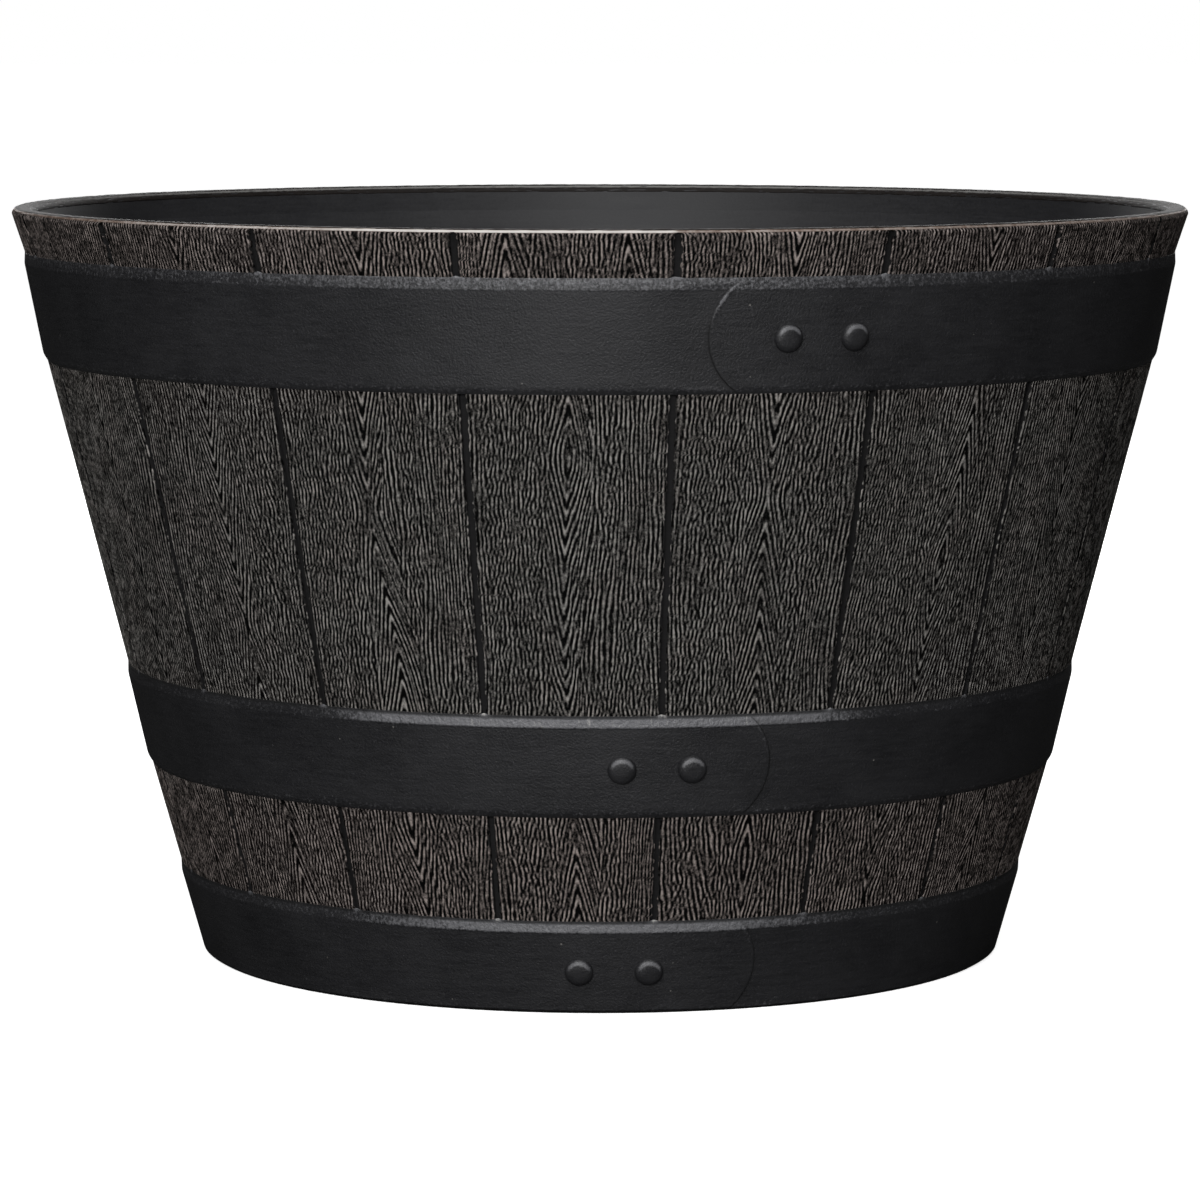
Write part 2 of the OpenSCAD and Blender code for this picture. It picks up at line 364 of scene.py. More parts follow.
def staveLook(tree, finish):
    # Dry-brushed grain, warmer near the foot and the rim, and rubbed to the core at the rim's edge, with a
    # painted highlight over the front
    place = objectPlace(tree)
    height = addNode(tree, "ShaderNodeSeparateXYZ", {0: place}).outputs[2]
    below, above = remap(tree, height, *finish["warmBelow"]), remap(tree, height, *finish["warmAbove"])
    patches = remap(tree, noise(tree, place, *finish["patches"]), *finish["patchSpan"])
    warmth = calc(tree, "MAXIMUM", below, above)
    warmth = calc(tree, "MULTIPLY_ADD", patches, finish["patchShare"], warmth, clamp=True)
    ridge = mixColours(tree, warmth, srgb(finish["coolRidge"]), srgb(finish["warmRidge"]))
    grained = useGroup(tree, brushed, {"Grain": readMask(tree, "grain"), "Tone": readMask(tree, "tone"),
                                       "Ridge": ridge, "Valley": srgb(finish["valley"])})
    colour, roughness = rubToCoreAndHighlight(tree, grained.outputs["Color"], grained.outputs["Roughness"])
    return colour, roughness, grained.outputs["Height"]


rimFinish = {
    "sheen": 0.18,
    "scales": (900.0, 60.0, 260.0),    # of the stipple, the mottle and the specks
    "colours": ((23, 20, 19), (37, 33, 31)),
    "colourSpan": (0.35, 0.65),
    "roughness": (0.6, 0.75),
    "roughSpan": (0.3, 0.7),
    "bump": (0.00015, 0.5),
    # Paler grey along the inner edge: a painted highlight
    "innerHighlightColour": (124, 123, 121),
    "innerHighlightRaggedness": 0.5,
}


def rimLook(tree, finish):
    # The rim's top: dark brown resin, rubbed to the core along its outer edge with a painted highlight over
    # the front, and a paler grey painted highlight along its inner edge
    surface, colour, roughness = mouldedLook(tree, finish)
    colour, roughness = rubToCoreAndHighlight(tree, colour, roughness)
    # Painted highlight along the inner edge
    inner = edgeWear(tree, readMask(tree, "inner"), finish["innerHighlightRaggedness"], core["scale"])
    colour = mixColours(tree, inner, colour, srgb(finish["innerHighlightColour"]))
    return colour, roughness, surface.outputs["Height"]


tubFinish = {
    "sheen": 0.35,
    "scales": (700.0, 22.0, 200.0),
    "colours": ((30, 30, 32), (46, 46, 48)),
    "colourSpan": (0.35, 0.7),
    "roughness": (0.46, 0.62),
    "roughSpan": (0.3, 0.7),
    "bump": (0.00012, 0.5),
    "jointColours": ((9, 9, 10), (24, 23, 24)),
    # Painted shade: the joints turn blacker towards the top, under the rim
    "jointTopShade": (2, 2, 2),
    "jointTopShadeSpan": (0.324, 0.330),    # heights between which the joints turn blacker
    "jointRoughness": 0.9,
    "insideSpan": (0.0030, 0.0042),    # depths behind the staves' face between which black turns to charcoal
}


def wallDepth(tree, axes):
    # Depth behind the staves' face: the wall's radius at this height less the distance from the axis
    flat = addNode(tree, "ShaderNodeCombineXYZ", {0: axes.outputs[0], 1: axes.outputs[1]}).outputs[0]
    radius = addNode(tree, "ShaderNodeVectorMath", {0: flat}, operation="LENGTH").outputs["Value"]
    tall, wide = wall["rimHeight"], wall["knotRadii"][-1]
    height = calc(tree, "DIVIDE", axes.outputs[2], tall / 1000)
    line = addNode(tree, "ShaderNodeFloatCurve", {"Value": height})
    curve = line.mapping.curves[0]
    knots = [(z / tall, r / wide) for z, r in zip(wall["knotHeights"], wall["knotRadii"])] + [(1.0, 1.0)]
    for x, y in knots[1:-1]:
        curve.points.new(x, y)
    curve.points[0].location = knots[0]
    curve.points[-1].location = knots[-1]
    for point in curve.points:
        point.handle_type = "VECTOR"
    line.mapping.update()
    return calc(tree, "MULTIPLY_ADD", line.outputs[0], wide / 1000, calc(tree, "MULTIPLY", radius, -1.0))


def tubLook(tree, finish):
    # The bare moulding: black in the joints, with painted shade making them blacker under the rim, and
    # charcoal inside
    axes = addNode(tree, "ShaderNodeSeparateXYZ", {0: objectPlace(tree)})
    inside = remap(tree, wallDepth(tree, axes), *finish["insideSpan"])
    surface, charcoal, roughness = mouldedLook(tree, finish)
    mottle = remap(tree, surface.outputs["Mottle"], *finish["colourSpan"])
    joint = mixColours(tree, mottle, *map(srgb, finish["jointColours"]))
    # Painted shade near the top of the joints
    shadeAtTop = remap(tree, axes.outputs[2], *finish["jointTopShadeSpan"])
    joint = mixColours(tree, shadeAtTop, joint, srgb(finish["jointTopShade"]))
    colour = mixColours(tree, inside, joint, charcoal)
    roughness = mixValues(tree, inside, finish["jointRoughness"], roughness)
    return colour, roughness, surface.outputs["Height"]


strapFinish = {
    "sheen": 0.4,
    "scales": (1100.0, 26.0, 130.0),
    "colours": ((26, 26, 28), (43, 43, 45)),
    "colourSpan": (0.38, 0.62),
    "roughness": (0.38, 0.54),
    "roughSpan": (0.35, 0.65),
    "bump": (0.0004, 0.8),
    "tickStretch": (1.0, 1.0, 0.3),    # upright ticks that break up the rubbed ledge
    "ticks": (600.0, 3.0, 0.7),    # scale, detail and roughness
    "tickStrength": 1.8,
    "raggedness": 1.8,
    "wearScale": 800.0,
    # Rubbed, and a painted highlight, on the ledges and edges
    "rubbedAndHighlit": (104, 104, 107),
    # Painted highlight on the most rubbed spots
    "bright": (176, 174, 171),
    "highlightSpan": (1.15, 1.7),
    "speck": (120, 118, 114),
    "speckShare": 0.8,
    # Painted shade beside the tip's arc and under the staves' ends
    "creviceShade": (5, 5, 6),
    "rubbedRoughness": 0.4,
    "creviceRoughness": 0.95,
    "lumps": (520.0, 3.0, 0.6),    # scale, detail and roughness of the ledge's lumps
    "lumpHeight": 2.5,
}


def strapLook(tree, finish):
    # Satin charcoal resin, with paler ledges and edges that are rubbed and carry a painted highlight, and
    # painted shade where a strap laps itself and under the staves' ends
    place = objectPlace(tree)
    surface, colour, roughness = mouldedLook(tree, finish)
    ledgeWearAndHighlight, creviceShade = readMask(tree, "ledgeWearAndHighlight"), readMask(tree, "creviceShade")
    ticks = noise(tree, stretched(tree, place, finish["tickStretch"]), *finish["ticks"])
    ticks = calc(tree, "MULTIPLY", calc(tree, "SUBTRACT", ticks, 0.5), ledgeWearAndHighlight)
    edge = calc(tree, "MULTIPLY_ADD", ticks, finish["tickStrength"], ledgeWearAndHighlight)
    rubbedAndHighlit = edgeWear(tree, edge, finish["raggedness"], finish["wearScale"])
    # Paler where rubbed, with a painted highlight strongest over the front
    colour = mixColours(tree, rubbedAndHighlit, colour, srgb(finish["rubbedAndHighlit"]))
    colour = mixColours(tree, remap(tree, edge, *finish["highlightSpan"]), colour, srgb(finish["bright"]))
    specks = calc(tree, "MULTIPLY", surface.outputs["Specks"], finish["speckShare"])
    colour = mixColours(tree, specks, colour, srgb(finish["speck"]))
    # Painted shade beside the tip's arc and under the staves' ends
    colour = mixColours(tree, creviceShade, colour, srgb(finish["creviceShade"]))
    roughness = mixValues(tree, rubbedAndHighlit, roughness, finish["rubbedRoughness"])
    roughness = mixValues(tree, creviceShade, roughness, finish["creviceRoughness"])
    lumps = calc(tree, "MULTIPLY", noise(tree, place, *finish["lumps"]), ledgeWearAndHighlight)
    height = calc(tree, "MULTIPLY_ADD", lumps, finish["lumpHeight"], surface.outputs["Height"])
    return colour, roughness, height


rivetFinish = {
    "sheen": 0.4,
    "scales": (1300.0, 90.0, 300.0),
    "colours": ((29, 29, 31), (41, 41, 43)),
    "colourSpan": (0.38, 0.62),
    "roughness": (0.34, 0.5),
    "roughSpan": (0.35, 0.65),
    "bump": (0.0003, 0.8),
    "raggedness": 0.9,
    "wearScale": 700.0,
    # Paler shoulder: rub, and a painted highlight on the upper side
    "rubbedAndHighlit": (112, 112, 115),
    "rubbedAndHighlitShare": 0.6,
}


def rivetLook(tree, finish):
    # The straps' resin, rubbed paler round the shoulder of each head, most on its upper side as a painted
    # highlight
    surface, colour, roughness = mouldedLook(tree, finish)
    wornAndHighlit = edgeWear(tree, readMask(tree, "shoulderHighlight"), finish["raggedness"], finish["wearScale"])
    wornAndHighlit = calc(tree, "MULTIPLY", wornAndHighlit, finish["rubbedAndHighlitShare"])
    colour = mixColours(tree, wornAndHighlit, colour, srgb(finish["rubbedAndHighlit"]))
    return colour, roughness, surface.outputs["Height"]


rubberFinish = {
    "sheen": 0.3,
    "scales": (1500.0, 120.0, 420.0),
    "colours": ((24, 24, 25), (38, 38, 39)),
    "colourSpan": (0.3, 0.7),
    "roughness": (0.6, 0.78),
    "roughSpan": (0.3, 0.7),
    "bump": (0.0001, 0.6),
    "speck": (90, 88, 84),
    "speckShare": 0.25,
}


def rubberLook(tree, finish):
    # Matt black rubber with a few dull specks
    surface, colour, roughness = mouldedLook(tree, finish)
    specks = calc(tree, "MULTIPLY", surface.outputs["Specks"], finish["speckShare"])
    colour = mixColours(tree, specks, colour, srgb(finish["speck"]))
    return colour, roughness, surface.outputs["Height"]


grainedResin = makeMaterial("grainedResin", staveFinish, staveLook)
rimResin = makeMaterial("rimResin", rimFinish, rimLook)
mouldedTub = makeMaterial("mouldedTub", tubFinish, tubLook)
strapResin = makeMaterial("strapResin", strapFinish, strapLook)
rivetResin = makeMaterial("rivetResin", rivetFinish, rivetLook)
plugRubber = makeMaterial("plugRubber", rubberFinish, rubberLook)
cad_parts["tub_shell"].material_slots[0].material = mouldedTub
for number in range(1, 5):
    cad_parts[f"drain_plug_{number}"].material_slots[0].material = plugRubber
print("materials made")


# Grain

grain = {
    "seed": 7,
    "pitch": 1.8,    # from one ridge to the next
    "relief": 0.3,    # height of a ridge
    "stand": 0.08,    # how far the skin stands off the moulded wall
    "rasterPoints": 1024,
    "stepAcross": 0.25,
    "stepAlong": 0.5,
    "squash": 1.6,    # how strongly ridges are made equally tall
    # Ridges: how far they lean off upright, how much their pitch varies, and how often they are filtered
    "lines": {"spread": 8, "band": 0.36, "passes": 3},
    "worms": {"spread": 36, "band": 0.38, "passes": 2},
    "blots": {"wide": 7, "tall": 40},
    "sway": {"wide": 22, "tall": 45},
    "kinks": {"wide": 1.4, "tall": 3},
    "kinkShare": 0.1,
    "bands": [100, 290],    # heights that part the low, middle and top band
    "ringSlope": 0.22,    # lean of the cathedral rings' sides
    "ringReach": 5,    # half width of the column of rings
    "ringSoft": 6.5,    # and of the strip where the lines beside it take over
    "ringTip": 0.6,    # how blunt the rings' tips are
    "sidesApart": 60,    # how far apart the raster is read for a ring's two sides
    "columnSway": 2.5,    # how far the column wanders
    "columnStretch": 0.6,
    # How much each follows the sway
    "reachSway": 0.25,
    "ringSway": 0.5,
    "lineSway": 1.4,
    "wormSway": 0.8,
    "calmSide": 9,    # lines this near a joint stay whole
    "calmRing": 0.9,    # how whole the rings stay
    "broken": 0.85,    # the largest share of short broken ridges
    "calmTakes": 0.75,    # how much of that share a calm place takes away
    "blotFrom": 1.3,
    "blotSoft": 1.6,
    # Height and lean of the rings for the staves that face the camera: below 0 they point down, above 0 up
    "rings": {
        0: [(0, 1), (100, 1), (110, -1), (234, -1), (246, 1), (340, 1)],
        1: [(0, -1), (60, -1), (75, 1), (218, 1), (228, -1), (340, -1)],
        17: [(0, -1), (80, -1), (90, 1), (212, 1), (222, -1), (340, -1)],
    },
    # How far the column of rings is off the middle of those staves, in the low, middle and top band
    "ringShift": {0: (-2, 0, 3), 1: (4, 0, 1), 17: (1, 0, 5)},
    "twinApart": {0: 24.6},    # half the distance between twin columns in the top band
    # The other staves draw theirs at random: the least, the most and how many
    "randomTurns": (10, 320, 3),
    "randomShift": (-7, 7, 3),
    "turnSoft": 5,    # half the height over which rings turn over
    "topHeight": 340,
    "toneBlots": 0.05,    # how much the paint's strength varies with the blots, and with the sway
    "toneSway": 0.03,
}


def spectrum():
    # Waves per millimetre across and along a raster
    n = grain["rasterPoints"]
    return np.fft.fftfreq(n, grain["stepAcross"])[:, None], np.fft.rfftfreq(n, grain["stepAlong"])[None, :]


def whiteNoise(seed):
    return np.random.default_rng(seed).standard_normal((grain["rasterPoints"],) * 2)


def ridgeRaster(seed, spread, band, passes):
    # White noise filtered to waves about one pitch long whose ridges run within spread degrees of upright,
    # then squashed by tanh and filtered again, so that most ridges stand about equally tall
    across, along = spectrum()
    wave = np.hypot(across, along) * grain["pitch"]
    lean = np.degrees(np.arctan2(along, np.abs(across)))
    keep = np.exp(-((wave - 1) / band) ** 2) * np.exp(-(lean / spread) ** 2)
    field = whiteNoise(seed)
    for _ in range(passes):
        field = np.fft.irfft2(np.fft.rfft2(np.tanh(grain["squash"] * field)) * keep)
        field /= field.std()
    return field


def cloudRaster(seed, wide, tall):
    # White noise blurred to blots of that width and height, scaled to a spread of 1
    across, along = spectrum()
    keep = np.exp(-(across * wide * 2) ** 2 - (along * tall * 2) ** 2)
    field = np.fft.irfft2(np.fft.rfft2(whiteNoise(seed)) * keep)
    return (field - field.mean()) / field.std()


def lookUp(field, across, along):
    # Reads a raster between its points; it repeats at its edges
    a, b = across / grain["stepAcross"], along / grain["stepAlong"]
    i, j = np.floor(a).astype(int), np.floor(b).astype(int)
    s, t = a - i, b - j
    n = grain["rasterPoints"]
    i, j, nextI, nextJ = i % n, j % n, (i + 1) % n, (j + 1) % n
    low = field[i, j] * (1 - s) + field[nextI, j] * s
    high = field[i, nextJ] * (1 - s) + field[nextI, nextJ] * s
    return low * (1 - t) + high * t


lines = ridgeRaster(grain["seed"], **grain["lines"])
worms = ridgeRaster(grain["seed"] + 1, **grain["worms"])
blots = cloudRaster(grain["seed"] + 2, **grain["blots"])
sway = cloudRaster(grain["seed"] + 3, **grain["sway"])
kinks = cloudRaster(grain["seed"] + 4, **grain["kinks"])
print("grain rasters made")


def ringKnots(index):
    # Height and lean of a stave's rings: as listed, or turning over at three random heights
    if index in grain["rings"]:
        return grain["rings"][index]
    random = np.random.default_rng(grain["seed"] + 50 + index)
    turns = np.sort(random.uniform(*grain["randomTurns"]))
    sign = random.choice([-1, 1])
    knots = [(0, sign)]
    for turn in turns:
        knots += [(turn - grain["turnSoft"], sign), (turn + grain["turnSoft"], -sign)]
        sign = -sign
    return knots + [(grain["topHeight"], sign)]


def ringLine(index, z):
    # The rings' phase up a stave: the sum of their lean, read at height z
    heights = np.arange(0, grain["topHeight"] + 1.0)
    lean = np.interp(heights, *zip(*ringKnots(index)))
    return np.interp(z, heights, np.cumsum(lean) * grain["ringSlope"])


def staveGrain(index, across, z, half):
    # Height of the ridges, around 0. Near a joint they run beside it: phase = distance to the joint + sway
    # and kinks. In the middle they make nested rings: phase = |distance from the middle line| + ring line.
    # Where blots say so, both give way to short broken ridges.
    random = np.random.default_rng(grain["seed"] + 100 + index)
    shift = random.uniform(0, 250, 8)
    wander = lookUp(sway, across + shift[0], z + shift[1])
    wander = wander + grain["kinkShare"] * lookUp(kinks, across + shift[2], z + shift[3])
    band = np.digitize(z, grain["bands"])
    columnShift = grain["ringShift"].get(index, random.uniform(*grain["randomShift"]))
    columnSway = lookUp(sway, shift[2] + 0 * z, z * grain["columnStretch"] + shift[3])
    middle = across - np.asarray(columnShift)[band] - grain["columnSway"] * columnSway
    if index in grain["twinApart"]:
        middle = np.where(band == 2, np.abs(middle) - grain["twinApart"][index], middle)

    # The right side of the rings and of the stave is read elsewhere in the raster, so it is no mirror image
    away = np.sqrt(middle ** 2 + grain["ringTip"])
    onRight = ease(middle / 8 + 0.5) * ease(np.abs(middle) / 14)
    rings = lookUp(lines, away + ringLine(index, z) + grain["ringSway"] * wander + shift[4],
                   z + grain["sidesApart"] * onRight + shift[5])
    fromSide = half - np.abs(across)
    elsewhere = shift[6] + 110 * (across > 0)
    beside = lookUp(lines, fromSide + grain["lineSway"] * wander + elsewhere, z + shift[7])
    broken = lookUp(worms, across + grain["wormSway"] * wander + shift[1], z + shift[2])

    reach = grain["ringReach"] * (1 + grain["reachSway"] * wander)
    share = 1 - ease((np.abs(middle) - reach) / grain["ringSoft"])
    field = (share * rings + (1 - share) * beside) / np.hypot(share, 1 - share)
    calm = np.maximum(grain["calmRing"] * share, 1 - ease(fromSide / grain["calmSide"]))
    blotted = ease((lookUp(blots, across + shift[3], z + shift[4]) + grain["blotFrom"]) / grain["blotSoft"])
    speckle = grain["broken"] * (1 - grain["calmTakes"] * calm) * blotted
    field = ((1 - speckle) * field + speckle * broken) / np.hypot(1 - speckle, speckle)
    tone = 1 + grain["toneBlots"] * lookUp(blots, across + shift[6], z + shift[7])
    return field, tone + grain["toneSway"] * wander


# Wear of the rim's edge, and a painted highlight over its front, on the skins and on the cover

rimWear = {
    "allRound": 0.46,
    # Stretches with more wear, the two over the front a painted highlight: start and end, how softly they
    # begin and end, and how much they add
    "stretches": [
        (-48, 6.6, 24, 1.2, 0.17),
        (-22, 6.6, 10, 1.2, 0.3),
        (6.6, 75, 1.2, 20, 0.05),
        (85, 107, 14, 14, 0.2),
        (130, 170, 20, 20, 0.15),
        (195, 220, 16, 16, 0.3),
    ],
    "skinFrom": 330.45,    # height where it begins on the skins
    "skinSoft": 0.4,
    "coverTo": 52,    # degrees up the outer rounding where it ends on the cover
    "coverSoft": 16,
}


def rimRubAndHighlight(degrees):
    # From 0 to 1: wear all round, most over the front, where it is a painted highlight, up to a joint, and
    # more wear in a few spots elsewhere
    rubAndHighlight = rimWear["allRound"] + 0 * degrees
    for start, end, fadeIn, fadeOut, most in rimWear["stretches"]:
        along = (degrees - start + 90) % 360 - 90
        rubAndHighlight += most * ease(along / fadeIn + 0.5) * ease((end - start - along) / fadeOut + 0.5)
    return rubAndHighlight


# Stave skins

stave = {
    "overhang": 0.05,    # how far a skin reaches over the joint, on average
    "ragged": 0.35,    # and how much that varies
    "closed": (331, 2),    # height where it closes over the joint's top, and how softly
    "thick": 0.7,
    "backDrop": 0.35,    # how much lower the back lies
    # Bands between the hoops: their ends, and how many rows they have
    "shown": [(41.0, 86.5, 52), (130.3, 265.0, 150), (312.5, 329.4, 19)],
    "tuck": 1.5,    # how far a band runs on behind the hoops
    "foot": 31,
    # Rows on the rim's rounding: how far up it in degrees, the last row's place, and how lifted they are
    "edgeTurns": [6, 12, 18, 24, 29, 33],
    "end": (258.6, 331.1),
    "edgeLifts": [0.9, 0.8, 0.7, 0.55, 0.4, 0.2, 0],
    "columns": 186,
    "edgeColumns": [0.0, 0.12, 0.28, 0.5, 0.85],    # distances of the close columns from a side
    "sunk": 0.09,    # how far a skin lies inside the wall behind the hoops
    "edgeDrop": 0.12,    # and along its sides
    # How far from a side the drop ends, the stand is full and the grain is full
    "dropSoft": 0.35,
    "standSoft": 0.5,
    "grainSoft": 1.0,
}


def staveRows():
    # Height, radius and lift of each row, from behind the lower hoop up to the rim's rounded edge
    z, lift = [[stave["foot"]]], [[0]]
    for low, high, count in stave["shown"]:
        z += [[low - stave["tuck"]], np.linspace(low, high, count), [high + stave["tuck"]]]
        lift += [[0], np.ones(count), [0]]
    z, lift = np.concatenate(z[:-1]), np.concatenate(lift[:-1])
    middle, base, size = wall["outerEdge"]
    turn = np.radians(stave["edgeTurns"])
    endRadius, endHeight = stave["end"]
    radius = np.concatenate([wallRadius(z), middle + size * np.cos(turn), [endRadius]])
    z = np.concatenate([z, base + size * np.sin(turn), [endHeight]])
    return z, radius, np.concatenate([lift, stave["edgeLifts"]])


def staveColumns(half):
    # Distance from the middle line: close columns where the edge is rounded, even ones between them
    edge = np.array(stave["edgeColumns"])
    inner = np.linspace(-1, 1, stave["columns"] - 2 * len(edge) + 2)[None, 1:-1] * (half[:, None] - edge[-1])
    return np.hstack([edge - half[:, None], inner, half[:, None] - edge[::-1]])


def staveSkin(index):
    # Front: radius = wall + lift x (stand + relief x grain), rounded down at its sides; the back is flat
    # inside the wall. Its sides follow the joints, a little raggedly, and close over their rounded tops.
    z, radius, lift = staveRows()
    uneven = lookUp(worms, 40.0 * index + 0.3 * z, 2 * z)
    half = radius * np.radians(staveAngle / 2) - jointHalf(z)
    straight = half[:, None]
    closeHeight, closeSoft = stave["closed"]
    overhang = stave["overhang"] + stave["ragged"] * np.clip(uneven, -1, 1)
    half = half + overhang * ease((closeHeight - z) / closeSoft)
    across = staveColumns(half)
    z, radius, lift = (np.repeat(a[:, None], across.shape[1], 1) for a in (z, radius, lift))
    degrees = wall["firstJoint"] - staveAngle / 2 + index * staveAngle + np.degrees(across / radius)
    ridges, tone = staveGrain(index, across, z, straight)
    wornAndHighlit = rimRubAndHighlight(degrees) * ease((z - rimWear["skinFrom"]) / rimWear["skinSoft"])
    fromSide = half[:, None] - np.abs(across)
    high = grain["relief"] * (0.5 + 0.5 * np.tanh(ridges)) * ease(fromSide / stave["grainSoft"])
    raised = lift * (grain["stand"] * ease(fromSide / stave["standSoft"]) + high)
    off = raised - stave["edgeDrop"] * (1 - ease(fromSide / stave["dropSoft"])) - stave["sunk"] * (lift == 0)
    lean = np.arcsin(np.clip((z - wall["outerEdge"][1]) / wall["outerEdge"][2], 0, 1))
    front = spin(radius + off * np.cos(lean), degrees, z + off * np.sin(lean))
    backRadius = np.minimum(radius[:, [0, -1]], wall["outerEdge"][0]) - stave["thick"]
    back = spin(backRadius, degrees[:, [0, -1]], z[:, [0, -1]] - stave["backDrop"])
    return front, back, {"grain": ridges, "tone": tone, "wornAndHighlit": wornAndHighlit}


def staveFaces(rows, columns):
    # The front's cells, then both sides and the back, then the two ends
    number = np.arange(rows * columns).reshape(rows, columns)
    behind = rows * columns + np.arange(rows * 2).reshape(rows, 2)
    ring = np.stack([number[:, -1], behind[:, 1], behind[:, 0], number[:, 0]], 1)
    hidden = [np.stack([ring[:-1, k], ring[:-1, k + 1], ring[1:, k + 1], ring[1:, k]], 1) for k in range(3)]
    foot = np.concatenate([behind[0], number[0, ::-1]])[None]
    head = np.concatenate([number[-1], behind[-1, ::-1]])[None]
    return [gridFaces(rows, columns), np.concatenate(hidden), foot, head]


def staveUv(rows, columns, faces):
    # The skin fills its texture square, and what is hidden shares a thin strip beside it
    skin, hidden, foot, head = faces
    u = 0.012 + 0.986 * np.linspace(0, 1, columns)[None, :] + np.zeros((rows, 1))
    v = np.linspace(0.002, 0.998, rows)[:, None] + np.zeros((1, columns))
    skinUv = np.stack([u, v], -1).reshape(-1, 2)[skin.ravel()]
    stripRow = (np.tile(np.arange(rows - 1), 3)[:, None] + [0, 0, 1, 1]).ravel()
    u, v = np.tile([0.002, 0.008, 0.008, 0.002], len(hidden)), 0.005 + 0.99 * stripRow / (rows - 1)
    return np.concatenate([skinUv, np.stack([u, v], 1), np.full((foot.size + head.size, 2), 0.004)])


def makeStave(index):
    front, back, masks = staveSkin(index)
    rows, columns = front.shape[:2]
    faces = staveFaces(rows, columns)
    masks = {key: np.concatenate([values.ravel(), np.zeros(rows * 2)]) for key, values in masks.items()}
    points = np.concatenate([front.reshape(-1, 3), back.reshape(-1, 3)])
    uv = staveUv(rows, columns, faces)
    piece = makePiece(f"stave_skin_{index + 1:02d}", points, faces, grainedResin, masks, uv)
    return piece


for index in range(wall["staves"]):
    made = makeStave(index)
print("stave skins made:", wall["staves"], "of", len(made.data.polygons), "faces")


# Rim

rim = {
    "columns": 1200,
    "thick": 0.1,    # how far the cover stands off the moulding
    "lumps": 0.06,    # how uneven it is
    # Rows on each rounding, in degrees up the outer one and down the inner one
    "outerTurns": (33, 90, 12),
    "innerTurns": (90, 178, 12),
    # Radii and heights where the cover begins and closes inside the moulding
    "start": (258.9, 330.7),
    "inside": [(252.2, 328.4), (255.2, 329.4)],
    # Painted highlight along the inner edge: its most, its place in degrees and its width, and its share at
    # the sides
    "innerHighlightMost": 0.9,
    "innerTurn": 130,
    "innerWide": 13,
    "innerSides": 0.35,
    "textureTurns": 6,
}


def rimSection():
    # Radius, height and direction outwards of each row, and 1 where it shows. On a rounding, radius and
    # height = its middle + (its size + thick) x (cos a, sin a), and a level land lies between the two.
    outerRadius, outerHeight, outerSize = wall["outerEdge"]
    innerRadius, innerHeight, innerSize = wall["innerEdge"]
    out = rim["thick"]
    a, b = np.radians(np.linspace(*rim["outerTurns"])), np.radians(np.linspace(*rim["innerTurns"]))
    land = np.linspace(outerRadius, innerRadius, 4)[1:-1]
    level = np.full(len(land), wall["rimHeight"] + out)
    radius = [outerRadius + (outerSize + out) * np.cos(a), land, innerRadius + (innerSize + out) * np.cos(b)]
    z = [outerHeight + (outerSize + out) * np.sin(a), level, innerHeight + (innerSize + out) * np.sin(b)]
    turn = [a, np.full(len(land), np.pi / 2), b]
    insideRadii, insideHeights = zip(*rim["inside"])
    radius = np.concatenate([[rim["start"][0]], *radius, insideRadii])
    z = np.concatenate([[rim["start"][1]], *z, insideHeights])
    turn = np.concatenate([[0], *turn, [0, 0]])
    return radius, z, turn, np.concatenate([[0], np.ones(len(z) - 3), [0, 0]])


def makeRim():
    # A cover over the rim's top, closed inside the moulding: its section goes round, with lumps x noise on it
    radius, z, turn, shown = rimSection()
    path = np.cumsum(np.hypot(np.diff(radius, prepend=radius[0]), np.diff(z, prepend=z[0])))
    radius, z, turn, shown, path = (values[:, None] for values in (radius, z, turn, shown, path))
    rows, columns = len(z), rim["columns"]
    degrees = np.linspace(0, 360, columns, endpoint=False)[None, :] + np.zeros((rows, 1))
    uneven = lookUp(worms, path + 3 * np.sin(np.radians(degrees)), degrees * 256 / 360 * 4)
    lumps = rim["lumps"] * shown * uneven
    points = spin(radius + lumps * np.cos(turn), degrees, z + lumps * np.sin(turn))
    up = np.degrees(turn)
    wornAndHighlit = rimRubAndHighlight(degrees) * shown * (1 - ease((up - rimWear["coverTo"]) / rimWear["coverSoft"]))
    # Painted highlight along the inner rounding, weaker at the sides
    toFront = rim["innerSides"] + (1 - rim["innerSides"]) * np.abs(np.cos(np.radians(degrees)))
    inner = shown * rim["innerHighlightMost"] * np.exp(-((up - rim["innerTurn"]) / rim["innerWide"]) ** 2)
    inner = inner * (up > 90) * toFront
    faces = gridFaces(rows, columns, closedAcross=True, closedAlong=True)
    piece = makePiece("rim_cover", points, [faces], rimResin, {"wornAndHighlit": wornAndHighlit, "inner": inner},
                      bandUv(rows, columns, rim["textureTurns"]))


makeRim()
print("rim made")


# Hoops

